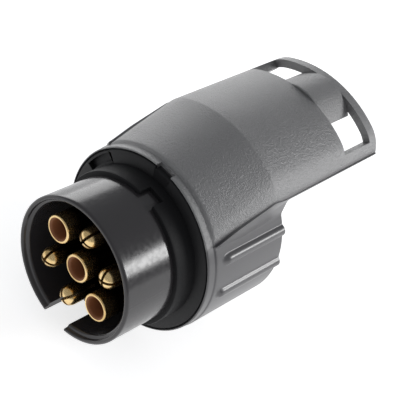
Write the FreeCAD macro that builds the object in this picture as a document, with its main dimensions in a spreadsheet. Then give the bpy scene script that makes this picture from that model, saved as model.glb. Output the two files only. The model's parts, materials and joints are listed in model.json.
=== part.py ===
"""Short trailer wiring adapter: a seven-way plug in front, a thirteen-way socket under a hood behind.

Frame, in millimetres: the origin is the centre of the plug's mouth, +Y runs along the connector's
axis from the mouth to the hood, +Z is up through the crown of the hood and +X is to the right
as one looks into the plug.
"""
import FreeCAD, Part
import Sketcher
import math
import os
import re

# Driving dimensions, in millimetres unless the name says angle.
SIZES = {
    # seven-way plug shell
    "plug_radius": 20.0,
    "shell_wall": 2.1,
    "plug_length": 16.0,
    "mouth_chamfer": 0.8,
    "keyway_width": 8.0,
    "keyway_length": 12.0,
    # seal collar and flange ring round the root of the plug
    "collar_length": 6.5,
    "collar_thickness": 1.3,
    "collar_notch_width": 5.0,
    "collar_notch_length": 3.6,
    "collar_seat": 0.4,
    "flange_step": 0.4,
    "flange_lip": 0.2,
    "insert_step": 1.4,
    "spigot_length": 1.8,
    "front_gasket_thickness": 0.8,
    "root_flange_thickness": 1.7,
    "catch_notch_width": 6.0,
    "catch_notch_depth": 1.4,
    "catch_notch_length": 1.8,
    "pocket_margin": 1.4,
    "pocket_width": 2.2,
    "pocket_depth": 1.4,
    "pocket_start_angle": 135.0,
    "pocket_span_angle": 25.0,
    # seven-way contacts and their carrier
    "carrier_depth": 17.0,
    "carrier_flange": 2.5,
    "contact_spacing": 1.65,
    "male_recess": 0.4,
    "female_recess": 1.7,
    "contact_collar": 0.7,
    "contact_collar_length": 5.5,
    "male_radius": 2.7,
    "male_tip": 1.6,
    "male_slot": 0.75,
    "male_slot_length": 9.0,
    "female_radius": 3.9,
    "female_bore": 2.65,
    "female_bore_depth": 16.0,
    "countersink": 0.75,
    "tail_radius": 0.9,
    # link board between the two sets of contacts
    "board_gap": 1.5,
    "board_clearance": 0.4,
    "board_thickness": 1.6,
    "block_gap": 0.9,
    # thirteen-way socket
    "socket_radius": 19.3,
    "rear_gasket_thickness": 0.6,
    "plate_thickness": 2.4,
    "socket_gap": 3.5,
    "boss_length": 13.5,
    "boss_recess": 1.5,
    "key_width": 3.0,
    "key_height": 1.0,
    "socket_contact_radius": 1.8,
    "socket_contact_bore": 1.25,
    "socket_contact_recess": 0.8,
    "boss_web": 0.6,
    "socket_bore_floor": 1.0,
    "socket_tail_radius": 0.6,
    "outer_contact_margin": 3.4,
    "inner_contact_circle": 5.4,
    "seal_thickness": 1.5,
    "bayonet_width": 4.6,
    "bayonet_depth": 1.6,
    "bayonet_length": 9.5,
    "bayonet_turn_height": 3.5,
    "bayonet_turn_angle": 25.0,
    # screws that hold the socket's base plate
    "screw_radius": 1.0,
    "screw_head_radius": 1.6,
    "screw_head_height": 1.2,
    "screw_drive_radius": 0.55,
    "screw_length": 5.0,
    # moulded housing; steps, rises, insets and drops are measured from the grip's radius
    "grip_radius": 26.0,
    "band_step": 0.25,
    "band_length": 2.8,
    "rib_bar_radius": 1.8,
    "rib_nose": 1.26,
    "rib_height": 1.0,
    "rib_setback": 4.4,
    "rib_upper_angle": 27.5,
    "rib_lower_angle": 5.0,
    "cone_rise": 0.6,
    "cone_inset": 5.0,
    "cone_length": 19.0,
    "hood_front_rise": 7.2,
    "hood_rear_rise": 7.8,
    "hood_front_inset": 4.8,
    "hood_rear_inset": 4.6,
    "hood_corner_radius": 10.0,
    "hood_wall": 2.4,
    "hood_length": 38.5,
    "edge_front_drop": 10.6,
    "edge_crease_drop": 4.6,
    "edge_rear_drop": 3.4,
    "web_inset": 0.8,
    "core_depth": 15.0,
    "core_wall": 3.6,
    "rail_width": 4.0,
    "window_length": 11.5,
    "strap_radius": 11.6,
    "strap_wall": 2.2,
    "strap_rise": 0.6,
    "strap_half_width": 9.8,
    "strap_drop": 6.5,
    # gap between pieces that fit together, and how far a cutter runs past what it cuts
    "seat_gap": 0.05,
    "overrun": 1.0,
}

# Where things stand round the axis, in degrees from +X towards +Z.
MALE_ANGLES = (90, 30, -90, 210)
FEMALE_ANGLES = (150, -30)
OUTER_CONTACT_ANGLES = [7.5 + 45 * step for step in range(8)]
INNER_CONTACT_ANGLES = [90 + 72 * step for step in range(5)]
SCREW_ANGLES = (30, 150, 270)
BAYONET_ANGLES = (90, 210, 330)

# How far each male pin's cross cut is turned the same way.
MALE_TURNS = (70, 15, 50, 85)

# Stations along the axis, as formulas of the driving dimensions.
FLANGE_FACE = "(plug_length + collar_length)"
BAND_START = f"({FLANGE_FACE} + flange_lip)"
SPIGOT_END = f"({BAND_START} + spigot_length)"
ROOT_START = f"({SPIGOT_END} + front_gasket_thickness)"
ROOT_END = f"({ROOT_START} + root_flange_thickness)"
CARRIER_END = f"({ROOT_END} + carrier_flange)"
BOARD_START = f"({CARRIER_END} + board_gap)"
BOARD_END = f"({BOARD_START} + board_thickness)"
BLOCK_SEAT = f"({BOARD_END} + block_gap)"
BLOCK_START = f"({BLOCK_SEAT} + rear_gasket_thickness)"
BOSS_START = f"({BLOCK_START} + plate_thickness)"
BOSS_END = f"({BOSS_START} + boss_length)"
GRIP_END = f"({BOSS_END} + boss_recess)"
CONE_START = f"({BAND_START} + band_length)"
CONE_END = f"({CONE_START} + cone_length)"
HOOD_END = f"({GRIP_END} + hood_length)"
WINDOW_END = f"({HOOD_END} - rail_width)"
WINDOW_START = f"({WINDOW_END} - window_length)"
CONTACT_SEAT = f"({CARRIER_END} - contact_collar_length)"
SOCKET_FLOOR = f"({BOSS_START} + boss_web)"
HEAD_SEAT = f"({BOSS_START} - screw_head_height)"

# Radii, half widths and heights that follow from the driving dimensions.
SHELL_BORE = "(plug_radius - shell_wall)"
COLLAR_RADIUS = "(plug_radius + collar_thickness)"
NECK_RADIUS = "(plug_radius - collar_seat)"
CONTACT_CIRCLE = "(2 * (female_radius + contact_collar) + contact_spacing)"
FLANGE_RADIUS = "(grip_radius - flange_step)"
INSERT_RADIUS = "(grip_radius - insert_step)"
INSERT_BORE = f"({INSERT_RADIUS} + seat_gap)"
POCKET_OUTER = f"({FLANGE_RADIUS} - pocket_margin)"
POCKET_INNER = f"({POCKET_OUTER} - pocket_width)"
BOSS_RADIUS = "(socket_radius - socket_gap)"
BOARD_BORE = f"({BOSS_RADIUS} + board_clearance)"
PLATE_RADIUS = "(socket_radius - seat_gap)"
OUTER_CIRCLE = f"({BOSS_RADIUS} - outer_contact_margin)"
SCREW_CIRCLE = "(socket_radius - socket_gap / 2)"
CONE_CROWN = "(grip_radius + cone_rise)"
CONE_HALF = "(grip_radius - cone_inset)"
FRONT_CROWN = "(grip_radius + hood_front_rise)"
FRONT_HALF = "(grip_radius - hood_front_inset)"
REAR_CROWN = "(grip_radius + hood_rear_rise)"
REAR_HALF = "(grip_radius - hood_rear_inset)"
EDGE_FRONT = "(grip_radius - edge_front_drop)"
EDGE_CREASE = "(grip_radius - edge_crease_drop)"
EDGE_REAR = "(grip_radius - edge_rear_drop)"
WINDOW_HALF = f"({REAR_HALF} - hood_wall)"
STRAP_CROWN = f"({REAR_CROWN} + strap_rise)"
ABOVE = f"(2 * {REAR_CROWN})"

UPRIGHT = FreeCAD.Rotation(FreeCAD.Vector(1, 0, 0), -90)
AXIS = FreeCAD.Vector(0, 1, 0)

doc = FreeCAD.newDocument("TrailerAdapter")
sheet = doc.addObject("Spreadsheet::Sheet", "Sizes")
for row, (alias, size) in enumerate(SIZES.items(), start=1):
    sheet.set(f"A{row}", alias)
    sheet.set(f"B{row}", str(size))
    sheet.setAlias(f"B{row}", alias)
doc.recompute()


def formula(text):
    """Point every size named in the text at its cell in the sheet."""
    return re.sub(r"[a-z_]+", lambda word: f"Sizes.{word[0]}" if word[0] in SIZES else word[0], text)


def value(text):
    """The present value of a formula, in millimetres or degrees."""
    return float(sheet.evalExpression(formula(text)))


def bind(item, **formulas):
    """Bind properties of an object to formulas; place_x, place_y and place_z move it."""
    for name, text in formulas.items():
        target = name.replace("place_", ".Placement.Base.")
        item.setExpression(target, formula(text))
    return item


def rod(name, radius, start, end, x="0", z="0"):
    """A round bar along the axis, from one station to another."""
    bar = doc.addObject("Part::Cylinder", name)
    bar.Placement = FreeCAD.Placement(FreeCAD.Vector(), UPRIGHT)
    return bind(bar, Radius=radius, Height=f"{end} - ({start})", place_x=x, place_y=start, place_z=z)


def block(name, x, y, z):
    """A box between two formulas in each direction."""
    box = doc.addObject("Part::Box", name)
    bind(box, Length=f"{x[1]} - ({x[0]})", Width=f"{y[1]} - ({y[0]})", Height=f"{z[1]} - ({z[0]})")
    return bind(box, place_x=x[0], place_y=y[0], place_z=z[0])


def swung(name, item, angle):
    """A solid turned about the connector's axis; angles run from +X towards +Z."""
    group = doc.addObject("Part::Compound", name)
    group.Links = [item]
    group.Placement = FreeCAD.Placement(FreeCAD.Vector(), FreeCAD.Rotation(AXIS, -angle))
    return group


def sector(name, radius, start, end, first_angle, span):
    """A pie-slice of a round bar; angles run from +X towards +Z."""
    bar = bind(rod(f"{name}_bar", radius, start, end), Angle=span)
    return swung(name, bar, first_angle + value(span))


def joined(name, pieces):
    """Several overlapping solids made one."""
    whole = doc.addObject("Part::MultiFuse", name)
    whole.Shapes = pieces
    return whole


def cut(name, base, tools):
    """A solid with other solids taken out of it."""
    result = doc.addObject("Part::Cut", name)
    result.Base = base
    result.Tool = tools[0] if len(tools) == 1 else joined(f"{name}_cuts", tools)
    return result


def turned(name, outline):
    """A solid of revolution about the axis, from (radius, station) corners."""
    body = doc.addObject("PartDesign::Body", name)
    sketch = body.newObject("Sketcher::SketchObject", f"{name}_outline")
    plane = [item for item in body.Origin.OriginFeatures if item.Role == "XY_Plane"][0]
    sketch.AttachmentSupport = [(plane, "")]
    sketch.MapMode = "FlatFace"
    corners = [FreeCAD.Vector(value(radius), value(station), 0) for radius, station in outline]
    count = len(corners)
    for index in range(count):
        sketch.addGeometry(Part.LineSegment(corners[index], corners[(index + 1) % count]), False)
    for index in range(count):
        sketch.addConstraint(Sketcher.Constraint("Coincident", index, 2, (index + 1) % count, 1))
    for index, (radius, station) in enumerate(outline):
        for kind, axis, text in (("DistanceX", -2, radius), ("DistanceY", -1, station)):
            size = value(text)
            if size == 0:
                sketch.addConstraint(Sketcher.Constraint("PointOnObject", index, 1, axis))
            else:
                number = sketch.addConstraint(Sketcher.Constraint(kind, -1, 1, index, 1, size))
                sketch.setExpression(f"Constraints[{number}]", formula(text))
    revolution = body.newObject("PartDesign::Revolution", f"{name}_turn")
    revolution.Profile = sketch
    revolution.ReferenceAxis = (sketch, ["V_Axis"])
    revolution.Angle = 360
    body.Tip = revolution
    return body


def around(circle, angle):
    """Formulas for X and Z at an angle on a circle about the axis."""
    return f"{circle} * cos({angle})", f"{circle} * sin({angle})"


def front_seats():
    """Radius, X and Z formulas of each of the seven front contacts."""
    seats = [("male_radius", *around(CONTACT_CIRCLE, angle)) for angle in MALE_ANGLES]
    seats += [("female_radius", *around(CONTACT_CIRCLE, angle)) for angle in FEMALE_ANGLES]
    seats.append(("female_radius", "0", "0"))
    return seats


def socket_seats():
    """X and Z formulas of the thirteen rear contacts: an outer ring of eight, an inner ring of five."""
    outer = [around(OUTER_CIRCLE, angle) for angle in OUTER_CONTACT_ANGLES]
    return outer + [around("inner_contact_circle", angle) for angle in INNER_CONTACT_ANGLES]


def plug_shell():
    """Glossy shell round the seven contacts, with a keyway at the bottom and a flange at its root."""
    tube = turned("plug_shell_tube", [
        (f"{SHELL_BORE} + mouth_chamfer", "0"),
        ("plug_radius", "0"),
        ("plug_radius", "plug_length"),
        (NECK_RADIUS, "plug_length"),
        (NECK_RADIUS, ROOT_START),
        (INSERT_RADIUS, ROOT_START),
        (INSERT_RADIUS, ROOT_END),
        (SHELL_BORE, ROOT_END),
        (SHELL_BORE, "mouth_chamfer"),
    ])
    half = "keyway_width / 2"
    keyway = block("keyway", (f"-{half}", half), ("-overrun", "keyway_length"),
                   ("-plug_radius - overrun", "-plug_radius + 2 * shell_wall"))
    return cut("plug_shell", tube, [keyway])


def collar_seal():
    """Rubber collar that seals the plug's root against the vehicle socket; notched at the top."""
    ring = turned("collar_ring", [
        (NECK_RADIUS, "plug_length"),
        (COLLAR_RADIUS, "plug_length"),
        (COLLAR_RADIUS, FLANGE_FACE),
        (NECK_RADIUS, FLANGE_FACE),
    ])
    notch = block("collar_notch", ("0", "collar_notch_width"),
                  ("plug_length - overrun", "plug_length + collar_notch_length"),
                  ("plug_radius / 2", f"{COLLAR_RADIUS} + overrun"))
    return cut("collar_seal", ring, [notch])


def catch_notch(name, start, end):
    """The gap at the top that the vehicle socket's lid catches in."""
    half = "catch_notch_width / 2"
    return block(name, (f"-{half}", half), (start, end),
                 (f"{FLANGE_RADIUS} - catch_notch_depth", "grip_radius + overrun"))


def front_flange_ring():
    """Black ring that closes the housing round the plug, with a moulding pocket at one side."""
    ring = turned("flange_ring_blank", [
        (f"{NECK_RADIUS} + seat_gap", FLANGE_FACE),
        (f"{FLANGE_RADIUS} - flange_lip / 2", FLANGE_FACE),
        (FLANGE_RADIUS, f"{FLANGE_FACE} + flange_lip / 2"),
        (FLANGE_RADIUS, BAND_START),
        (INSERT_RADIUS, BAND_START),
        (INSERT_RADIUS, SPIGOT_END),
        (f"{NECK_RADIUS} + seat_gap", SPIGOT_END),
    ])
    floor = f"{FLANGE_FACE} + pocket_depth"
    slice_of_ring = sector("pocket_slice", POCKET_OUTER, f"{FLANGE_FACE} - overrun", floor,
                           value("pocket_start_angle"), "pocket_span_angle")
    middle = rod("pocket_middle", POCKET_INNER, f"{FLANGE_FACE} - 2 * overrun", f"{floor} + overrun")
    pocket = cut("flange_pocket", slice_of_ring, [middle])
    notch = catch_notch("flange_notch", f"{FLANGE_FACE} - overrun", f"{SPIGOT_END} + overrun")
    return cut("front_flange_ring", ring, [pocket, notch])


def flat_ring(name, inner, outer, start, end):
    """A plain washer-shaped ring."""
    return turned(name, [(inner, start), (outer, start), (outer, end), (inner, end)])


def front_contact_carrier():
    """Black block that closes the plug's cavity and holds its seven contacts."""
    blank = joined("carrier_blank", [
        rod("carrier_body", f"{SHELL_BORE} - seat_gap", "carrier_depth", CARRIER_END),
        rod("carrier_flange_disc", INSERT_RADIUS, ROOT_END, CARRIER_END),
    ])
    holes = []
    back = f"{CARRIER_END} + overrun"
    for number, (radius, x, z) in enumerate(front_seats(), start=1):
        holes.append(rod(f"carrier_hole_{number}", radius, "carrier_depth - overrun", back, x, z))
        holes.append(rod(f"carrier_seat_{number}", f"{radius} + contact_collar", CONTACT_SEAT, back, x, z))
    return cut("front_contact_carrier", blank, holes)


def male_pin(name, turn, x, z):
    """Split brass pin with a cross-cut tip, a collar in the carrier and a tail to the link board."""
    blank = turned(f"{name}_blank", [
        ("0", "male_recess"),
        ("male_radius - male_tip", "male_recess"),
        ("male_radius", "male_recess + male_tip"),
        ("male_radius", CONTACT_SEAT),
        ("male_radius + contact_collar", CONTACT_SEAT),
        ("male_radius + contact_collar", CARRIER_END),
        ("tail_radius", CARRIER_END),
        ("tail_radius", BOARD_END),
        ("0", BOARD_END),
    ])
    reach = ("-male_radius - overrun", "male_radius + overrun")
    slot = ("-male_slot / 2", "male_slot / 2")
    length = ("male_recess - overrun", "male_recess + male_slot_length")
    cross = joined(f"{name}_cross", [
        block(f"{name}_slot_a", reach, length, slot),
        block(f"{name}_slot_b", slot, length, reach),
    ])
    return bind(cut(name, blank, [swung(f"{name}_turned_cross", cross, turn)]), place_x=x, place_z=z)


def female_socket(name, x, z):
    """Brass sleeve with a countersunk mouth, a collar in the carrier and a tail to the link board."""
    sleeve = turned(name, [
        ("0", "female_recess + female_bore_depth"),
        ("female_bore", "female_recess + female_bore_depth"),
        ("female_bore", "female_recess + countersink"),
        ("female_bore + countersink", "female_recess"),
        ("female_radius", "female_recess"),
        ("female_radius", CONTACT_SEAT),
        ("female_radius + contact_collar", CONTACT_SEAT),
        ("female_radius + contact_collar", CARRIER_END),
        ("tail_radius", CARRIER_END),
        ("tail_radius", BOARD_END),
        ("0", BOARD_END),
    ])
    return bind(sleeve, place_x=x, place_z=z)


def link_board():
    """Round circuit board that joins the seven front tails to the thirteen rear ones."""
    disc = rod("board_disc", BOSS_RADIUS, BOARD_START, BOARD_END)
    span = (f"{BOARD_START} - overrun", f"{BOARD_END} + overrun")
    holes = [rod(f"front_tail_hole_{number}", "tail_radius", *span, x, z)
             for number, (_, x, z) in enumerate(front_seats(), start=1)]
    holes += [rod(f"rear_tail_hole_{number}", "socket_tail_radius", *span, x, z)
              for number, (x, z) in enumerate(socket_seats(), start=1)]
    return cut("link_board", disc, holes)


def tail_holes(name, start, end):
    """Thirteen small holes for the tails of the rear contacts."""
    return [rod(f"{name}_tail_hole_{number}", "socket_tail_radius", start, end, x, z)
            for number, (x, z) in enumerate(socket_seats(), start=1)]


def shank_holes(name, start, end):
    """Three holes for the shanks of the socket's screws."""
    return [rod(f"{name}_screw_hole_{number}", "screw_radius", start, end, *around(SCREW_CIRCLE, angle))
            for number, angle in enumerate(SCREW_ANGLES, start=1)]


def socket_base_plate():
    """Black plate screwed down at the bottom of the socket, pierced for the thirteen tails."""
    disc = rod("base_plate_disc", PLATE_RADIUS, BLOCK_START, BOSS_START)
    front = f"{BLOCK_START} - overrun"
    back = f"{BOSS_START} + overrun"
    heads = [rod(f"head_hole_{number}", "screw_head_radius", HEAD_SEAT, back, *around(SCREW_CIRCLE, angle))
             for number, angle in enumerate(SCREW_ANGLES, start=1)]
    return cut("socket_base_plate", disc,
               heads + shank_holes("plate", front, back) + tail_holes("plate", front, back))


def socket_boss():
    """Raised, keyed boss on the base plate that holds the thirteen contacts."""
    key = block("boss_key", ("-key_width / 2", "key_width / 2"), (f"{BOSS_START} + seal_thickness", BOSS_END),
                (f"-{BOSS_RADIUS} - key_height", f"-{BOSS_RADIUS} / 2"))
    blank = joined("boss_blank", [rod("boss_round", BOSS_RADIUS, BOSS_START, BOSS_END), key])
    back = f"{BOSS_END} + overrun"
    sleeves = [rod(f"sleeve_hole_{number}", "socket_contact_radius", SOCKET_FLOOR, back, x, z)
               for number, (x, z) in enumerate(socket_seats(), start=1)]
    return cut("socket_boss", blank, sleeves + tail_holes("boss", f"{BOSS_START} - overrun", BOSS_END))


def socket_contact(name, x, z):
    """Small brass sleeve of the thirteen-way socket, with a tail to the link board."""
    end = f"({BOSS_END} - socket_contact_recess)"
    sleeve = turned(name, [
        ("0", BOARD_START),
        ("socket_tail_radius", BOARD_START),
        ("socket_tail_radius", SOCKET_FLOOR),
        ("socket_contact_radius", SOCKET_FLOOR),
        ("socket_contact_radius", end),
        ("socket_contact_bore", end),
        ("socket_contact_bore", f"{SOCKET_FLOOR} + socket_bore_floor"),
        ("0", f"{SOCKET_FLOOR} + socket_bore_floor"),
    ])
    return bind(sleeve, place_x=x, place_z=z)


def rear_gasket():
    """Thin rubber ring under the socket's base plate, pierced by the three screws."""
    ring = flat_ring("rear_gasket_blank", BOARD_BORE, PLATE_RADIUS, BLOCK_SEAT, BLOCK_START)
    return cut("rear_gasket", ring,
               shank_holes("gasket", f"{BLOCK_SEAT} - overrun", f"{BLOCK_START} + overrun"))


def insert_screws():
    """Three self-tapping screws that hold the socket's base plate to the housing."""
    screws = []
    for number, angle in enumerate(SCREW_ANGLES, start=1):
        place = around(SCREW_CIRCLE, angle)
        tip = f"({HEAD_SEAT} - screw_length)"
        head = rod(f"screw_head_{number}", "screw_head_radius", HEAD_SEAT, BOSS_START, *place)
        shank = rod(f"screw_shank_{number}", "screw_radius", tip, HEAD_SEAT, *place)
        drive = rod(f"screw_drive_{number}", "screw_drive_radius",
                    f"({BOSS_START} - screw_head_height / 2)", f"({BOSS_START} + overrun)", *place)
        screws.append(cut(f"screw_{number}", joined(f"screw_blank_{number}", [head, shank]), [drive]))
    group = doc.addObject("Part::Compound", "insert_screws")
    group.Links = screws
    return group


def hood_outline(station, crown, half_width, corner):
    """Closed outline of the hood across the axis: flat sides, rounded shoulders and a round crown."""
    shoulder_x = half_width - corner
    shoulder_z = ((crown - corner) ** 2 - shoulder_x ** 2) ** 0.5
    turn = math.atan2(shoulder_z, shoulder_x)

    def at(x, z):
        return FreeCAD.Vector(x, station, z)

    def shoulder(side, angle):
        return at(side * (shoulder_x + corner * math.cos(angle)), shoulder_z + corner * math.sin(angle))

    edges = [
        Part.LineSegment(at(-half_width, 0), at(half_width, 0)),
        Part.LineSegment(at(half_width, 0), at(half_width, shoulder_z)),
        Part.Arc(at(half_width, shoulder_z), shoulder(1, turn / 2), shoulder(1, turn)),
        Part.Arc(shoulder(1, turn), at(0, crown), shoulder(-1, turn)),
        Part.Arc(shoulder(-1, turn), shoulder(-1, turn / 2), at(-half_width, shoulder_z)),
        Part.LineSegment(at(-half_width, shoulder_z), at(-half_width, 0)),
    ]
    return Part.Wire([edge.toShape() for edge in edges])


def lofted(name, outlines):
    """A solid ruled through outlines; its sizes are read from the sheet."""
    solid = doc.addObject("Part::Feature", name)
    solid.Shape = Part.makeLoft(outlines, True, True)
    return solid


def hood_size(station):
    """Crown radius and half width of the hood's outside at a station behind the crease."""
    share = (value(station) - value(CONE_END)) / (value(HOOD_END) - value(CONE_END))
    crown = value(FRONT_CROWN) + share * (value(REAR_CROWN) - value(FRONT_CROWN))
    width = value(FRONT_HALF) + share * (value(REAR_HALF) - value(FRONT_HALF))
    return crown, width


def hood_space(name, start, end, inset):
    """The solid space inside the hood, a wall's thickness in from its outside."""
    wall = value(inset)
    outlines = []
    for station in (start, end):
        crown, width = hood_size(station)
        outlines.append(hood_outline(value(station), crown - wall, width - wall,
                                     value("hood_corner_radius") - wall))
    return lofted(name, outlines)


def prism(name, half_width, corners):
    """A flat-sided solid across the connector, from (station, height) corners."""
    points = [FreeCAD.Vector(-half_width, value(station), value(height)) for station, height in corners]
    face = Part.Face(Part.makePolygon(points + points[:1]))
    solid = doc.addObject("Part::Feature", name)
    solid.Shape = face.extrude(FreeCAD.Vector(2 * half_width, 0, 0))
    return solid


def upper_body():
    """Textured cone and hood, above the line where they meet the grip."""
    corner = value("hood_corner_radius")
    outside = lofted("hood_outside", [
        hood_outline(value(CONE_START), value(CONE_CROWN), value(CONE_HALF), corner),
        hood_outline(value(CONE_END), *hood_size(CONE_END), corner),
        hood_outline(value(HOOD_END), *hood_size(HOOD_END), corner),
    ])
    above_edge = prism("above_edge", value(ABOVE), [
        (CONE_START, EDGE_FRONT),
        (CONE_END, EDGE_CREASE),
        (HOOD_END, EDGE_REAR),
        (HOOD_END, ABOVE),
        (CONE_START, ABOVE),
    ])
    body = doc.addObject("Part::Common", "upper_body")
    body.Base = outside
    body.Tool = above_edge
    return body


def web():
    """Flat flanks that join the hood's edges to the grip."""
    return prism("web", value(f"{FRONT_HALF} - web_inset"), [
        (CONE_START, "0"),
        (CONE_START, EDGE_FRONT),
        (CONE_END, f"{EDGE_CREASE} + web_inset"),
        (GRIP_END, f"{EDGE_CREASE} + web_inset"),
        (GRIP_END, "0"),
    ])


def ribs():
    """Four blunt-nosed ribs along the flanks of the grip."""
    bars = []
    circle = "(grip_radius + rib_height - rib_bar_radius)"
    start = f"({CONE_START} + rib_setback)"
    angles = ("rib_upper_angle", "rib_lower_angle", "180 - rib_upper_angle", "180 - rib_lower_angle")
    for number, angle in enumerate(angles, start=1):
        x, z = around(circle, angle)
        bar = turned(f"rib_{number}", [
            ("0", f"{start} - rib_bar_radius"),
            ("rib_nose", f"{start} - rib_nose"),
            ("rib_bar_radius", start),
            ("rib_bar_radius", GRIP_END),
            ("0", GRIP_END),
        ])
        bars.append(bind(bar, place_x=x, place_z=z))
    return bars


def strap():
    """Half-barrel bridge between the hood and its rear rail."""
    centre = f"{STRAP_CROWN} - strap_radius"
    outer = rod("strap_outer", "strap_radius", WINDOW_START, WINDOW_END, "0", centre)
    inner = rod("strap_inner", "strap_radius - strap_wall",
                f"{WINDOW_START} - overrun", f"{WINDOW_END} + overrun", "0", centre)
    keep = block("strap_keep", ("-strap_half_width", "strap_half_width"), (WINDOW_START, WINDOW_END),
                 (f"{STRAP_CROWN} - strap_drop", f"{STRAP_CROWN} + overrun"))
    arch = doc.addObject("Part::Common", "strap_arch")
    arch.Base = outer
    arch.Tool = keep
    return cut("strap", arch, [inner])


def bayonet_slots():
    """Three hooked slots in the socket's bore that the thirteen-way plug's lugs turn into."""
    slots = []
    depth = "socket_radius + bayonet_depth"
    floor = f"({GRIP_END} - bayonet_length)"
    for number, angle in enumerate(BAYONET_ANGLES, start=1):
        entry = block(f"bayonet_entry_{number}", ("0", depth), (floor, f"{GRIP_END} + overrun"),
                      ("-bayonet_width / 2", "bayonet_width / 2"))
        slots.append(swung(f"bayonet_slot_{number}", entry, angle))
        slots.append(sector(f"bayonet_turn_{number}", depth, floor, f"{floor} + bayonet_turn_height",
                            angle, "bayonet_turn_angle"))
    return slots


def core_pocket():
    """Crescent cored out between the socket barrel and the hood, open to the rear."""
    start = f"({GRIP_END} - core_depth)"
    span = (f"{start} - overrun", f"{GRIP_END} + overrun")
    space = hood_space("core_space", start, GRIP_END, "core_wall")
    barrel = rod("core_barrel", "socket_radius + core_wall", *span)
    below = block("core_below", (f"-{ABOVE}", ABOVE), span, ("-overrun", EDGE_FRONT))
    return cut("core_pocket", space, [barrel, below])


def main_housing():
    """Grey moulding: front band, cone, hood with its bridge, and the ribbed grip round the socket."""
    window = block("window_slot", (f"-{WINDOW_HALF}", WINDOW_HALF), (WINDOW_START, WINDOW_END),
                   (EDGE_REAR, ABOVE))
    hollow = hood_space("hood_hollow", GRIP_END, HOOD_END, "hood_wall")
    hood = cut("hood_shell", upper_body(), [hollow, window, core_pocket()])
    blank = joined("housing_blank", [
        rod("band", "grip_radius - band_step", BAND_START, f"{CONE_START} + overrun"),
        joined("ribbed_grip", [rod("grip", "grip_radius", CONE_START, GRIP_END), *ribs()]),
        web(),
        hood,
        strap(),
    ])
    return cut("main_housing", blank, [
        rod("insert_bore", INSERT_BORE, f"{BAND_START} - overrun", CARRIER_END),
        rod("board_bore", BOARD_BORE, f"{CARRIER_END} - overrun", f"{BLOCK_SEAT} + overrun"),
        rod("socket_bore", "socket_radius", BLOCK_SEAT, f"{GRIP_END} + overrun"),
        catch_notch("band_notch", f"{BAND_START} - overrun", f"{FLANGE_FACE} + catch_notch_length"),
        *bayonet_slots(),
        *shank_holes("pilot", f"{HEAD_SEAT} - screw_length - seat_gap", f"{BLOCK_SEAT} + overrun"),
    ])


def sub_parts():
    """Every separate piece of the adapter, front to back."""
    pieces = [
        plug_shell(),
        collar_seal(),
        front_flange_ring(),
        flat_ring("front_gasket", f"{NECK_RADIUS} + seat_gap", INSERT_RADIUS, SPIGOT_END, ROOT_START),
        front_contact_carrier(),
    ]
    for number, (angle, turn) in enumerate(zip(MALE_ANGLES, MALE_TURNS), start=1):
        pieces.append(male_pin(f"plug_pin_{number}", turn, *around(CONTACT_CIRCLE, angle)))
    for number, angle in enumerate(FEMALE_ANGLES, start=1):
        pieces.append(female_socket(f"plug_sleeve_{number}", *around(CONTACT_CIRCLE, angle)))
    pieces += [
        female_socket(f"plug_sleeve_{len(FEMALE_ANGLES) + 1}", "0", "0"),
        link_board(),
        socket_base_plate(),
        socket_boss(),
    ]
    for number, (x, z) in enumerate(socket_seats(), start=1):
        pieces.append(socket_contact(f"socket_contact_{number:02d}", x, z))
    pieces += [
        rear_gasket(),
        flat_ring("socket_seal_ring", f"{BOSS_RADIUS} + seat_gap", PLATE_RADIUS,
                  BOSS_START, f"({BOSS_START} + seal_thickness)"),
        insert_screws(),
        main_housing(),
    ]
    return pieces


def check(pieces):
    """Stop if any feature failed or any piece is not a sound solid."""
    for item in doc.Objects:
        if {"Invalid", "Error"} & set(item.State):
            raise RuntimeError(f"{item.Label} failed: {item.State}")
    for piece in pieces:
        if piece.Shape.isNull() or not piece.Shape.isValid() or not piece.Shape.Solids:
            raise RuntimeError(f"{piece.Label} is not a valid solid")


def export(pieces):
    """Write each piece to its own STEP file, named after it."""
    os.makedirs("parts", exist_ok=True)
    for piece in pieces:
        piece.Shape.exportStep(f"parts/{piece.Label}.step")
        print(f"{piece.Label}: {len(piece.Shape.Solids)} solid(s), {piece.Shape.Volume:.1f} mm3")


parts = sub_parts()
doc.recompute()
check(parts)
export(parts)
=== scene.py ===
# %% [markdown]
# # A short trailer adapter, built over its CAD frame
#
# The adapter joins a seven-way plug to a thirteen-way socket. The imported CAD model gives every
# place and size; this lesson builds the finished surfaces over it: the spark-textured housing with
# its hood and ribs, the glossy plug shell, the rubber collar and the brass contacts.
# The frame is the CAD frame: +Y runs from the plug's mouth to the hood, +Z is up through the
# hood's crown. The geometry helpers work in millimetres and hand over metres.

# %% Load the frame and note its size
import bmesh
import bpy
import json
import math
from mathutils import Euler, Matrix, Vector


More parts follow.
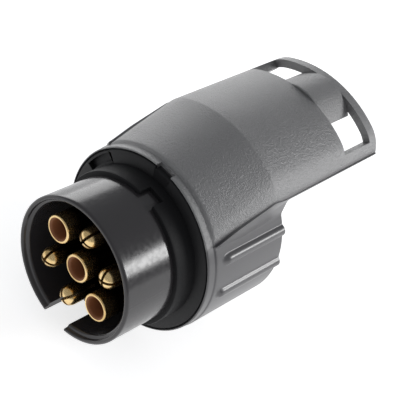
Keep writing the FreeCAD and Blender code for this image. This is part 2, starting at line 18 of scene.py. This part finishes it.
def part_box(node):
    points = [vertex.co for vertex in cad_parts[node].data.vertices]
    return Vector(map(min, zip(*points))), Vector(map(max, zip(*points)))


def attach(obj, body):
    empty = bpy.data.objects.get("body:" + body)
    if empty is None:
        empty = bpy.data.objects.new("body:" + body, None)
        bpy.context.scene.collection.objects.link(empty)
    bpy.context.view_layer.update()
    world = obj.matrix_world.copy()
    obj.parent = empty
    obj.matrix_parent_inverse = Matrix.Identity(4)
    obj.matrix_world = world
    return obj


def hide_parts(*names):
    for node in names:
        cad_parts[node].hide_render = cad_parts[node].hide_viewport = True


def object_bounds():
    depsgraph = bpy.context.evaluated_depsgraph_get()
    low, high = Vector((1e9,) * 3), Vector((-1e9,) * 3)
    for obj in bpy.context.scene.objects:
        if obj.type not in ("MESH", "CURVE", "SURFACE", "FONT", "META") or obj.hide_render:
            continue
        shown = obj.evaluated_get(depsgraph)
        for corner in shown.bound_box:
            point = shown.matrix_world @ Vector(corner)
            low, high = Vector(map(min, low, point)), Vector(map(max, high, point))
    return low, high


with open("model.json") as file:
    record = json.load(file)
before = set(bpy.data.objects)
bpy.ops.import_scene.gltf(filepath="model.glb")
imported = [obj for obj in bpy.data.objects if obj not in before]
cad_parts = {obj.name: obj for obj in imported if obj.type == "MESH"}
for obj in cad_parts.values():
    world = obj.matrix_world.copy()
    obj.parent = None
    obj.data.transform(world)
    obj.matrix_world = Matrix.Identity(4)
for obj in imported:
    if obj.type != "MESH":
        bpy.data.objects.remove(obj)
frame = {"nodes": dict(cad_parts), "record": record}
cad_low, cad_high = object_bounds()
MM = 0.001


def box_mm(node):
    """Lowest and highest corner of a CAD node, in millimetres."""
    low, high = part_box(node)
    return low / MM, high / MM


print("CAD nodes:", len(frame["nodes"]))
print("CAD box, mm:", [round(v / MM, 2) for v in (*cad_low, *cad_high)])

# %% [markdown]
# ## Small helpers
#
# Each piece starts as a bmesh in millimetres. `finished` closes the work: it scales the mesh to
# metres, points the normals outward, hangs the object on the CAD body and hides the CAD nodes it
# stands for. `spun` turns a closed outline into a ring, `thickened` gives a sheet its wall, and
# `carved` takes boxes or bars out.

# %% Helpers for building pieces


def placed(name, data):
    """An object for a mesh, a light or a camera, linked into the scene."""
    item = bpy.data.objects.new(name, data)
    bpy.context.scene.collection.objects.link(item)
    return item


def finished(name, bm, nodes, slot, smooth=True):
    """Make a piece of a bmesh in millimetres and hang it on the CAD body."""
    bmesh.ops.remove_doubles(bm, verts=bm.verts, dist=0.0005)
    bmesh.ops.recalc_face_normals(bm, faces=bm.faces)
    bmesh.ops.scale(bm, vec=(MM, MM, MM), verts=bm.verts)
    mesh = bpy.data.meshes.new(name)
    bm.to_mesh(mesh)
    bm.free()
    for face in mesh.polygons:
        face.use_smooth = smooth
    mesh.materials.append(FINISH[slot])
    piece = placed(name, mesh)
    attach(piece, "root")
    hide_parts(*nodes)
    return piece


def rounded(piece, width, segments=3, angle=35):
    """Round every edge sharper than an angle."""
    bevel = piece.modifiers.new("rounded edges", "BEVEL")
    bevel.width = width * MM
    bevel.segments = segments
    bevel.limit_method = "ANGLE"
    bevel.angle_limit = math.radians(angle)
    bevel.harden_normals = True


def thickened(piece, width):
    """Give an open sheet a wall on its inner side."""
    wall = piece.modifiers.new("wall", "SOLIDIFY")
    wall.thickness = width * MM
    wall.offset = -1
    return wall


def spun(outline, steps=128):
    """A ring turned about the connector's axis from a closed outline of (radius, station)."""
    bm = bmesh.new()
    corners = [bm.verts.new((radius, station, 0)) for radius, station in outline]
    edges = [bm.edges.new((corners[i - 1], corners[i])) for i in range(len(corners))]
    bmesh.ops.spin(bm, geom=corners + edges, cent=(0, 0, 0), axis=(0, 1, 0),
                   angle=math.tau, steps=steps, use_merge=True)
    bmesh.ops.remove_doubles(bm, verts=bm.verts, dist=0.0005)
    bmesh.ops.recalc_face_normals(bm, faces=bm.faces)
    return bm


def brick(size, centre, turn=0.0):
    """A box, turned about the connector's axis after it is placed."""
    bm = bmesh.new()
    stretch = Matrix.Translation(centre) @ Matrix.Diagonal((*size, 1.0))
    bmesh.ops.create_cube(bm, size=1.0, matrix=stretch)
    bmesh.ops.rotate(bm, verts=bm.verts, cent=(0, 0, 0), matrix=Matrix.Rotation(-turn, 3, "Y"))
    return bm


def carved(bm, cutters):
    """The bmesh with other closed bmeshes taken out of it."""
    def holder(name, shape):
        mesh = bpy.data.meshes.new(name)
        shape.to_mesh(mesh)
        shape.free()
        return placed(name, mesh)

    work = holder("work", bm)
    tools = [holder(f"tool_{number}", cutter) for number, cutter in enumerate(cutters)]
    for tool in tools:
        step = work.modifiers.new(tool.name, "BOOLEAN")
        step.operation = "DIFFERENCE"
        step.solver = "EXACT"
        step.object = tool
    result = bmesh.new()
    bpy.context.view_layer.update()
    result.from_object(work, bpy.context.evaluated_depsgraph_get())
    for item in [work, *tools]:
        mesh = item.data
        bpy.data.objects.remove(item)
        bpy.data.meshes.remove(mesh)
    bmesh.ops.dissolve_degenerate(result, dist=0.0005, edges=result.edges)
    return result


# %% [markdown]
# ## Materials
#
# Everything is a node material that reads Object coordinates. The housing has one material with
# two finishes: a spark-eroded grain above the line where the hood meets the grip, and a smooth
# finish below it. The line is the lower of two slopes, one along the cone and one along the hood.
# The brass is pale at the contacts' mouths, and deeper in the plug it is darkened with painted shade where
# the contacts' sides lie in shadow.

# %% Material helpers


class Nodes:
    """A node material with short ways to add and join nodes."""

    def __init__(self, name, **sockets):
        self.material = bpy.data.materials.new(name)
        self.material.use_nodes = True
        self.tree = self.material.node_tree
        self.shader = self.tree.nodes["Principled BSDF"]
        for socket, amount in sockets.items():
            self.shader.inputs[socket.replace("_", " ")].default_value = amount

    def add(self, kind, inputs=(), **settings):
        node = self.tree.nodes.new(kind)
        for key, setting in settings.items():
            setattr(node, key, setting)
        for socket, source in dict(inputs).items():
            if isinstance(source, bpy.types.NodeSocket):
                self.tree.links.new(source, node.inputs[socket])
            else:
                node.inputs[socket].default_value = source
        return node

    def math(self, operation, *values):
        return self.add("ShaderNodeMath", dict(enumerate(values)), operation=operation).outputs[0]

    def coordinates(self):
        return self.add("ShaderNodeTexCoord").outputs["Object"]

    def noise(self, scale, detail=2.0, roughness=0.5):
        return self.add("ShaderNodeTexNoise", {"Vector": self.coordinates(), "Scale": scale,
                                               "Detail": detail, "Roughness": roughness}).outputs["Fac"]

    def span(self, source, low, high, to_low, to_high):
        return self.add("ShaderNodeMapRange", {"Value": source, "From Min": low, "From Max": high,
                                               "To Min": to_low, "To Max": to_high}).outputs["Result"]

    def blend(self, share, first, second):
        mix = self.add("ShaderNodeMix", {"Factor": share}, data_type="RGBA")
        for socket, source in ((mix.inputs["A"], first), (mix.inputs["B"], second)):
            if isinstance(source, bpy.types.NodeSocket):
                self.tree.links.new(source, socket)
            else:
                socket.default_value = source
        return mix.outputs["Result"]

    def bump(self, height, distance, strength=1.0):
        return self.add("ShaderNodeBump", {"Height": height, "Distance": distance,
                                           "Strength": strength}).outputs["Normal"]

    def feed(self, **sources):
        for socket, source in sources.items():
            self.tree.links.new(source, self.shader.inputs[socket.replace("_", " ")])
        return self.material


def moulded(name, tint, roughness, grain=2600, depth=0.00001, specular=0.5):
    """Plain moulded plastic or rubber with a faint grain."""
    nodes = Nodes(name, Base_Color=(*tint, 1), Roughness=roughness, Specular_IOR_Level=specular)
    speck = nodes.noise(grain, 3)
    return nodes.feed(Roughness=nodes.span(speck, 0.3, 0.7, roughness - 0.05, roughness + 0.05),
                      Normal=nodes.bump(speck, depth))


def metal(name, tint, dark, roughness):
    """Turned metal with a slight stain, darkened with painted shade where it stands deep in the plug."""
    nodes = Nodes(name, Metallic=1.0, Roughness=roughness)
    stain = nodes.noise(260, 3)
    fine = nodes.noise(3800, 2)
    along = nodes.add("ShaderNodeSeparateXYZ", {"Vector": nodes.coordinates()}).outputs["Y"]
    surface = nodes.blend(nodes.span(stain, 0.42, 0.80, 0.0, 1.0), (*tint, 1), (*dark, 1))
    # Painted shade: from 3.5 to 6.5 mm into the plug the base colour fades to a dark brown, standing in for
    # the shadow on the contacts' sides.
    deep, painted_shade = nodes.span(along, 0.0035, 0.0065, 0.0, 1.0), (0.05, 0.03, 0.012, 1)
    return nodes.feed(Base_Color=nodes.blend(deep, surface, painted_shade),
                      Roughness=nodes.span(fine, 0.3, 0.7, roughness - 0.04, roughness + 0.06),
                      Normal=nodes.bump(fine, 0.000003))


# %% The finishes

# Stations along the axis, then heights of the hood's edge and its lip.
BAND_START, NOTCH_END, BAND_END, CONE_START = 22.6, 24.3, 25.0, 25.5
CREASE, GRIP_END, HOOD_END = 44.5, 51.5, 90.0
EDGE_FRONT, EDGE_CREASE, EDGE_REAR = 15.4, 21.4, 22.6
LIP = 1.3


def housing_finish():
    """Spark grain above the hood's edge line, a smooth finish below it."""
    nodes = Nodes("housing grey", IOR=2.0)
    split = nodes.add("ShaderNodeSeparateXYZ", {"Vector": nodes.coordinates()})
    along, up = split.outputs["Y"], split.outputs["Z"]
    cone_slope = (EDGE_CREASE - EDGE_FRONT) / (CREASE - CONE_START)
    hood_slope = (EDGE_REAR - EDGE_CREASE) / (HOOD_END - CREASE)
    cone_base = (EDGE_FRONT + LIP - CONE_START * cone_slope) * MM
    hood_base = (EDGE_CREASE + LIP - CREASE * hood_slope) * MM
    cone_line = nodes.math("MULTIPLY_ADD", along, cone_slope, cone_base)
    hood_line = nodes.math("MULTIPLY_ADD", along, hood_slope, hood_base)
    height = nodes.math("SUBTRACT", up, nodes.math("MINIMUM", cone_line, hood_line))
    grained = nodes.span(height, -0.0005, 0.0009, 0.0, 1.0)
    coarse, fine = nodes.noise(1500, 2, 0.6), nodes.noise(3600, 2, 0.7)
    speck = nodes.math("MULTIPLY", nodes.math("ADD", coarse, fine), grained)
    dark, light, plain = (0.028, 0.027, 0.029, 1), (0.072, 0.070, 0.073, 1), (0.075, 0.073, 0.077, 1)
    shade = nodes.blend(nodes.span(fine, 0.32, 0.68, 0.0, 1.0), dark, light)
    return nodes.feed(Base_Color=nodes.blend(grained, plain, shade),
                      Roughness=nodes.span(grained, 0.0, 1.0, 0.32, 0.49),
                      Specular_IOR_Level=nodes.span(grained, 0.0, 1.0, 0.27, 1.0),
                      Normal=nodes.bump(speck, 0.00017))


FINISH = {
    "housing_grey": housing_finish(),
    "gloss_black": moulded("gloss black", (0.030, 0.028, 0.030), 0.21, 900, 0.000001),
    "matt_black": moulded("satin black", (0.010, 0.010, 0.011), 0.50, 2600, 0.00001, 0.25),
    "seal_rubber": moulded("seal rubber", (0.009, 0.009, 0.010), 0.62, 2200, 0.00002, 0.2),
    "contact_brass": metal("contact brass", (0.87, 0.64, 0.32), (0.62, 0.41, 0.16), 0.24),
    "board": moulded("board green", (0.015, 0.12, 0.04), 0.35),
    "screw_steel": metal("screw steel", (0.60, 0.60, 0.62), (0.42, 0.42, 0.44), 0.30),
}

BORE_FINISH = moulded("dark bore", (0.22, 0.075, 0.022), 0.6)

for row in frame["record"]["subparts"]:
    node = frame["nodes"][row["node"]]
    node.data.materials.clear()
    node.data.materials.append(FINISH[row["material_slot"]])
print("finishes:", ", ".join(FINISH))

# %% [markdown]
# ## The housing's section
#
# Across the axis the housing is a hood outline on top - a round crown, rounded shoulders and steep
# sides - that rolls over a small lip into flat flanks, and then a round grip with two ribs on each
# side. `section` gives that half outline at any station as points from the crown down to the
# bottom, always the same number of them, so that sections along the axis make one clean grid.

# %% The half section at a station
GRIP, BAND = 26.0, 25.75
CROWN = (26.6, 33.2, 33.8)
HALF_WIDTH = (21.0, 21.2, 21.4)
CORNER, WEB = 10.0, 20.6
FRONT_ROUND, REAR_ROUND = 0.35, 1.6

# Each rib's angle and the station where its nose ends; then the circle the rib bars sit on, their
# radius and the fillet at their foot.
RIB_STARTS = {27.3: 29.9, 5.0: 28.8}
RIB_CIRCLE, RIB_BAR, RIB_FOOT = 25.2, 1.8, 0.02

# Where the outline's points stand: over the hood, round its lip, down the flank and round the grip.
HOOD_SHARES = [1 - step / 26 for step in range(27)]
LIP_STEPS = [1.0, 0.7, 0.4, 0.15, 0.0, -0.3, -0.7, -1.1, -1.4]
FLANK_SHARES = [step / 7 for step in range(1, 7)]
GRIP_ANGLES = [33.5 - 0.5 * step for step in range(23)]
GRIP_ANGLES += [20.0, 17.5, 15.0, 12.5, 10.5]
GRIP_ANGLES += [9.5 - 0.5 * step for step in range(20)]
GRIP_ANGLES += [-1.5 - 3.0 * step for step in range(30)] + [-90.0]


def slide(value, start, end, first, last):
    """Straight-line value between two stations, held outside them."""
    share = min(max((value - start) / (end - start), 0.0), 1.0)
    return first + (last - first) * share


def ease(share):
    """Smooth step between 0 and 1."""
    share = min(max(share, 0.0), 1.0)
    return share * share * (3 - 2 * share)


def hood_shape(y):
    """Crown radius, half width and edge height of the hood at a station."""
    sizes = (CROWN, HALF_WIDTH, (EDGE_FRONT, EDGE_CREASE, EDGE_REAR))
    if y < CREASE:
        return [slide(y, CONE_START, CREASE, front, crease) for front, crease, _ in sizes]
    return [slide(y, CREASE, HOOD_END, crease, rear) for _, crease, rear in sizes]


def hood_radius(angle, crown, half_width):
    """Distance from the axis to the hood's outline in a direction."""
    shoulder_x = half_width - CORNER
    shoulder_z = math.sqrt((crown - CORNER) ** 2 - shoulder_x ** 2)
    if angle > math.atan2(shoulder_z, shoulder_x):
        return crown
    if math.tan(angle) < shoulder_z / half_width:
        return half_width / math.cos(angle)
    middle = shoulder_x * math.cos(angle) + shoulder_z * math.sin(angle)
    return middle + math.sqrt(middle ** 2 - shoulder_x ** 2 - shoulder_z ** 2 + CORNER ** 2)


def grip_radius(angle, y):
    """Grip and its ribs; a rib's nose is a quarter of a ball, and its foot has a small fillet."""
    radius = GRIP
    for rib, start in RIB_STARTS.items():
        nose = min(max((start - y) / RIB_BAR, 0.0), 1.0)
        bar = RIB_BAR * math.sqrt(1 - nose ** 2)
        offset = RIB_CIRCLE * math.sin(math.radians(angle - rib))
        if abs(offset) < bar:
            height = RIB_CIRCLE * math.cos(math.radians(angle - rib)) + math.sqrt(bar ** 2 - offset ** 2)
            gap = height - GRIP
            radius = max(radius, GRIP + (gap + math.sqrt(gap * gap + RIB_FOOT)) / 2 - RIB_FOOT)
    return radius


def end_round(y):
    """How far the band's rounded front edge and the hood's rounded rear edge draw the outline in."""
    drawn = 0.0
    for radius, depth in ((FRONT_ROUND, y - BAND_START), (REAR_ROUND, HOOD_END - y)):
        into = min(max(radius - depth, 0.0), radius)
        drawn += radius - math.sqrt(radius ** 2 - into ** 2)
    return drawn


def polar(angle, radius):
    """X and Z of a point given by degrees and radius."""
    return radius * math.cos(math.radians(angle)), radius * math.sin(math.radians(angle))


def section(y):
    """Half outline of the housing from the crown to the bottom, as (x, z) points."""
    crown, half_width, edge = hood_shape(y)
    spread = 1 + 0.8 * ease((y - CONE_START) / 8) * (1 - ease((y - CREASE) / 5))
    web = slide(y, CONE_START + 10, GRIP_END, half_width, WEB)
    lip_top = math.degrees(math.atan2(edge + LIP * spread, half_width))
    points = []
    for share in HOOD_SHARES:
        angle = lip_top + (90 - lip_top) * share
        points.append(polar(angle, hood_radius(math.radians(angle), crown, half_width)))
    for step in LIP_STEPS:
        x = half_width - (half_width - web) * ease((LIP - step) / (2 * LIP + 0.1))
        points.append((x, edge + step * spread))
    low_angle = math.degrees(math.atan2(points[-1][1], points[-1][0]))
    for share in FLANK_SHARES:
        angle = low_angle + (GRIP_ANGLES[0] - low_angle) * share
        points.append(polar(angle, web / math.cos(math.radians(angle))))
    points += [polar(angle, GRIP) for angle in GRIP_ANGLES]
    wanted = []
    below_edge = len(HOOD_SHARES) + LIP_STEPS.index(0.0) + 1
    for index, (x, z) in enumerate(points):
        angle = math.degrees(math.atan2(z, x))
        radius = math.hypot(x, z)
        if index >= below_edge:
            radius = max(radius, grip_radius(angle, y)) if angle > -90 else GRIP
        radius = BAND + (radius - BAND) * ease((y - BAND_END) / (CONE_START - BAND_END))
        wanted.append(polar(angle, radius - end_round(y)))
    return wanted


print("points in half a section:", len(section(60.0)))

# %% [markdown]
# ## The housing's skin
#
# One grid covers the whole moulding. Its rows are stations along the axis, its columns the points
# of the section. Behind the grip only the hood's columns stay, the two windows and the catch notch
# are left out, and Solidify gives the skin its wall: thick at the hood, thinner round the grip.

# %% Grid, openings and wall
WINDOW_FRONT, WINDOW_REAR, WINDOW_HALF, NOTCH_HALF = 74.5, 86.0, 19.0, 2.7
HOOD_WALL, THIN_SHARE = 2.4, 0.62

stations = [22.6, 22.68, 22.8, 22.95, 23.5, 24.1, 24.3, 24.8, 25.0, 25.12, 25.25, 25.38]
stations += [25.5 + 0.6 * step for step in range(22)]
stations += [39.2, 40.4, 41.6, 42.8, 43.7, 44.2, 44.5, 44.8, 45.3, 46.5, 47.8, 49.1, 50.4, 51.1, 51.5]
stations += [52.7 + 1.2 * step for step in range(18)] + [74.0, 74.5, 75.5]
stations += [77.5, 79.5, 81.5, 83.5, 85.5, 86.0, 86.6, 87.5, 88.4, 88.8, 89.2, 89.5, 89.75, 89.9, 90.0]
half = len(section(60.0))
around = 2 * half - 1

skin = bmesh.new()
bmesh.ops.create_grid(skin, x_segments=around - 1, y_segments=len(stations) - 1, size=1.0)
skin.verts.ensure_lookup_table()
rows = [section(y) for y in stations]
for index, vert in enumerate(skin.verts):
    row, column = divmod(index, around)
    x, z = rows[row][column] if column < half else rows[row][2 * half - 2 - column]
    vert.co = (x if column < half else -x, stations[row], z)

spare = []
for face in skin.faces:
    middle = face.calc_center_median()
    behind_grip = middle.y > GRIP_END and middle.z < hood_shape(middle.y)[2]
    in_window = WINDOW_FRONT < middle.y < WINDOW_REAR and abs(middle.x) < WINDOW_HALF
    in_notch = middle.y < NOTCH_END and abs(middle.x) < NOTCH_HALF and middle.z > 0
    if behind_grip or in_window or in_notch:
        spare.append(face)
bmesh.ops.delete(skin, geom=spare, context="FACES")
bmesh.ops.delete(skin, geom=[v for v in skin.verts if not v.link_faces], context="VERTS")
bmesh.ops.remove_doubles(skin, verts=skin.verts, dist=0.002)
bmesh.ops.recalc_face_normals(skin, faces=skin.faces)

housing_skin = finished("housing_skin", skin, ["main_housing"], "housing_grey")
thick = housing_skin.vertex_groups.new(name="hood wall")
for vert in housing_skin.data.vertices:
    _, y, z = vert.co / MM
    share = ease((z - hood_shape(y)[2]) / 3.0) if y < GRIP_END else 1.0
    if y <= CREASE - 8:
        share = 0.0
    thick.add([vert.index], THIN_SHARE + (1 - THIN_SHARE) * share, "REPLACE")
wall = thickened(housing_skin, HOOD_WALL)
wall.vertex_group = thick.name
wall.use_even_offset = False
rounded(housing_skin, 0.32, 3, 50)
print("housing skin faces:", len(housing_skin.data.polygons))

# %% [markdown]
# ## Inside the hood
#
# The socket barrel is a spun ring that closes the end of the grip, with the three hooked slots for
# the mating plug's lugs carved into its bore. A plate closes the crescent between it and the hood,
# and an arched strap bridges the gap between the windows.

# %% Socket barrel, crescent floor and bridge
barrel = spun([(19.3, 34.0), (24.6, 34.0), (24.6, 51.42), (19.8, 51.42), (19.3, 50.9)], 144)
slots = []
for turn in (90, 210, 330):
    slots.append(brick((5.2, 9.5, 4.6), (18.3, 46.8, 0), math.radians(turn)))
    slots += [brick((5.2, 3.5, 4.6), (18.3, 43.75, 0), math.radians(turn + extra)) for extra in (9, 18)]
socket_barrel = finished("socket_barrel", carved(barrel, slots), ["main_housing"], "housing_grey")
rounded(socket_barrel, 0.25, 2, 50)

PLATE_FACE, PLATE_DEPTH, PLATE_HOLE, PLATE_INSET = 36.0, 1.5, 22.0, 0.97
floor_plate = bmesh.new()
outline = section(36.6)[:len(HOOD_SHARES) + 6]
rim = [Vector((x * PLATE_INSET, PLATE_FACE, z * PLATE_INSET)) for x, z in outline]
rim += [Vector((-point.x, point.y, point.z)) for point in reversed(rim[1:])]
plate_face = floor_plate.faces.new([floor_plate.verts.new(point) for point in rim])
grown = bmesh.ops.extrude_face_region(floor_plate, geom=[plate_face])
moved = [item for item in grown["geom"] if isinstance(item, bmesh.types.BMVert)]
bmesh.ops.translate(floor_plate, vec=(0, -PLATE_DEPTH, 0), verts=moved)
socket_hole = bmesh.new()
through = Matrix.Translation((0, PLATE_FACE, 0)) @ Matrix.Rotation(math.pi / 2, 4, "X")
bmesh.ops.create_cone(socket_hole, cap_ends=True, segments=96, radius1=PLATE_HOLE, radius2=PLATE_HOLE,
                      depth=12.0, matrix=through)
finished("crescent_floor", carved(floor_plate, [socket_hole]), ["main_housing"], "housing_grey", smooth=False)

STRAP, STRAP_CROWN, STRAP_HALF, STRAP_WALL, TUCK = 11.6, 34.4, 9.8, 2.2, 0.25
strap = bmesh.new()
across, along = 41, 13
bmesh.ops.create_grid(strap, x_segments=across - 1, y_segments=along - 1, size=1.0)
strap.verts.ensure_lookup_table()
reach = math.asin(STRAP_HALF / STRAP)
for index, vert in enumerate(strap.verts):
    row, column = divmod(index, across)
    lean = reach * (2 * column / (across - 1) - 1)
    y = slide(row, 0, along - 1, WINDOW_FRONT - TUCK, WINDOW_REAR + TUCK)
    vert.co = (STRAP * math.sin(lean), y, STRAP_CROWN - STRAP + STRAP * math.cos(lean))
bmesh.ops.recalc_face_normals(strap, faces=strap.faces)
if sum(face.normal.z for face in strap.faces) < 0:
    bmesh.ops.reverse_faces(strap, faces=strap.faces)
bridge_strap = finished("bridge_strap", strap, ["main_housing"], "housing_grey")
thickened(bridge_strap, STRAP_WALL)
rounded(bridge_strap, 0.4, 3, 50)

# %% [markdown]
# ## Plug, collar and flange ring
#
# These are turned parts. Each outline is spun once round, and the keyway, the collar's gap, the
# moulding pocket and the catch notch are carved out before the edges are rounded.

# %% Plug shell
PLUG, BORE = 20.0, 17.9
shell = spun([
    (BORE, 17.6), (BORE, 17.0), (BORE, 2.0), (BORE, 1.5), (18.25, 1.2), (18.6, 1.15), (18.75, 0.95),
    (18.75, 0.35), (18.95, 0.08), (19.15, 0.0), (19.35, 0.0), (19.65, 0.07), (19.9, 0.28), (PLUG, 0.6),
    (PLUG, 1.0), (PLUG, 23.0), (PLUG, 24.0), (24.5, 24.0), (24.5, 27.0), (BORE, 27.0),
], 192)
keyway = brick((8.0, 14.0, 9.0), (0, 5.0, -19.0))
plug_shell = finished("plug_shell_skin", carved(shell, [keyway]), ["plug_shell"], "gloss_black")
rounded(plug_shell, 0.22, 3, 50)

# %% Rubber collar
COLLAR = 21.3
collar = spun([
    (19.8, 16.0), (20.9, 16.0), (21.2, 16.1), (COLLAR, 16.4), (COLLAR, 16.8), (COLLAR, 22.0),
    (COLLAR, 22.6), (19.8, 22.6),
], 160)
gap = brick((5.0, 5.2, 4.0), (2.5, 17.0, 20.9))
collar_seal = finished("collar_skin", carved(collar, [gap]), ["collar_seal"], "seal_rubber")
rounded(collar_seal, 0.18, 2, 50)

# %% Flange ring with its pocket and notch
flange = spun([
    (20.05, 22.5), (24.7, 22.5), (24.9, 22.7), (24.9, 23.1), (24.6, 23.1), (24.6, 24.4), (20.05, 24.4),
], 192)
notch = brick((5.4, 6.0, 4.0), (0, 21.3, 26.2))
pocket_ring = spun([(22.0, 21.5), (24.2, 21.5), (24.2, 23.9), (22.0, 23.9)], 160)
for end_angle, side in ((135, 1), (160, -1)):
    end = math.radians(end_angle)
    across_end = Vector((-math.sin(end), 0, math.cos(end))) * side
    everything = pocket_ring.verts[:] + pocket_ring.edges[:] + pocket_ring.faces[:]
    bmesh.ops.bisect_plane(pocket_ring, geom=everything, plane_co=(0, 0, 0), plane_no=across_end,
                           clear_inner=True)
    bmesh.ops.holes_fill(pocket_ring, edges=[e for e in pocket_ring.edges if e.is_boundary])
bmesh.ops.recalc_face_normals(pocket_ring, faces=pocket_ring.faces)
flange_ring = finished("flange_ring_skin", carved(flange, [pocket_ring, notch]), ["front_flange_ring"],
                       "matt_black")
rounded(flange_ring, 0.15, 2, 50)

# %% [markdown]
# ## Contacts of the plug
#
# Four split pins with domed tips, and three sleeves with a countersunk mouth and a dull bore.

# %% Pins
PIN, PIN_DOME, PIN_SLOT, CONTACT_END = 2.7, 2.4, 0.75, 30.0
PIN_TURNS = (70, 15, 50, 85)
for number, turn in enumerate(PIN_TURNS, start=1):
    low, high = box_mm(f"plug_pin_{number}")
    centre = (low + high) / 2
    tip = low.y
    dome = [(PIN * math.sin(math.radians(lean)), tip + PIN_DOME * (1 - math.cos(math.radians(lean))))
            for lean in range(0, 91, 10)]
    pin = spun([(0, CONTACT_END), *dome, (PIN, tip + 2.8), (PIN, 29.0), (PIN, CONTACT_END)], 64)
    cross = [brick((7.0, 18.0, PIN_SLOT), (0, tip, 0), math.radians(turn + extra)) for extra in (0, 90)]
    pin = carved(pin, cross)
    bmesh.ops.translate(pin, vec=(centre.x, 0, centre.z), verts=pin.verts)
    pin_skin = finished(f"plug_pin_skin_{number}", pin, [f"plug_pin_{number}"], "contact_brass")
    rounded(pin_skin, 0.1, 2, 50)

# %% Sleeves
SLEEVE, SLEEVE_BORE, SLEEVE_FLOOR, DULL_RADIUS = 3.9, 2.65, 17.7, 3.1
for number in (1, 2, 3):
    low, high = box_mm(f"plug_sleeve_{number}")
    centre = (low + high) / 2
    mouth = low.y
    sleeve = spun([
        (0, CONTACT_END), (0, SLEEVE_FLOOR), (SLEEVE_BORE, SLEEVE_FLOOR), (SLEEVE_BORE, mouth + 0.75),
        (2.85, mouth + 0.35), (3.25, mouth + 0.05), (3.45, mouth), (3.65, mouth + 0.04),
        (3.83, mouth + 0.2), (SLEEVE, mouth + 0.45), (SLEEVE, CONTACT_END),
    ], 80)
    bmesh.ops.translate(sleeve, vec=(centre.x, 0, centre.z), verts=sleeve.verts)
    sleeve_skin = finished(f"plug_sleeve_skin_{number}", sleeve, [f"plug_sleeve_{number}"], "contact_brass")
    sleeve_skin.data.materials.append(BORE_FINISH)
    for face in sleeve_skin.data.polygons:
        place = face.center / MM
        face.material_index = int(math.hypot(place.x - centre.x, place.z - centre.z) < DULL_RADIUS)

# %% [markdown]
# ## Floor, lights and camera
#
# A plain pale floor that glows a little, an even sky, two soft panels low behind the adapter, and
# the camera that looks down into the plug from the front right.

# %% Floor and sky
floor_mesh = bmesh.new()
bmesh.ops.create_grid(floor_mesh, x_segments=1, y_segments=1, size=3.0)
bmesh.ops.translate(floor_mesh, vec=(0, 0, cad_low.z - 0.0002), verts=floor_mesh.verts)
floor_data = bpy.data.meshes.new("floor")
floor_mesh.to_mesh(floor_data)
floor_mesh.free()
floor = placed("floor", floor_data)
pale = Nodes("pale floor", Base_Color=(0.9, 0.9, 0.9, 1), Roughness=0.7, Emission_Color=(1, 1, 1, 1),
             Emission_Strength=0.6)
floor_data.materials.append(pale.material)

world = bpy.data.worlds.new("studio")
world.use_nodes = True
world.node_tree.nodes["Background"].inputs["Color"].default_value = (0.95, 0.97, 1.0, 1)
world.node_tree.nodes["Background"].inputs["Strength"].default_value = 0.42
bpy.context.scene.world = world

# %% Light panels
PANEL_DISTANCE = 0.8
target = (cad_low + cad_high) / 2


def panel(name, bearing, height, size, power):
    """A soft rectangular light aimed at the adapter; bearing runs from +Y, and both are in degrees."""
    turn, rise = math.radians(bearing), math.radians(height)
    level = math.cos(rise)
    place = Vector((math.sin(turn) * level, math.cos(turn) * level, math.sin(rise))) * PANEL_DISTANCE
    data = bpy.data.lights.new(name, "AREA")
    data.shape = "RECTANGLE"
    data.size, data.size_y = size
    data.energy = power
    lamp = placed(name, data)
    lamp.location = target + place
    lamp.rotation_mode = "QUATERNION"
    lamp.rotation_quaternion = (target - lamp.location).to_track_quat("-Z", "Y")


panel("rear left", -60, 8.5, (0.90, 0.37), 3.1)
panel("rear right", 47, 22, (0.30, 0.20), 3.0)

# %% Camera
camera_data = bpy.data.cameras.new("camera")
camera_data.lens = 100.33
camera_data.sensor_width = 36.0
camera = placed("camera", camera_data)
camera.location = (0.11393, -0.15727, 0.20179)
camera.rotation_euler = Euler([math.radians(turn) for turn in (47.1915, -17.9648, 45.3042)])
bpy.context.scene.camera = camera
bpy.context.scene.view_settings.view_transform = "Standard"
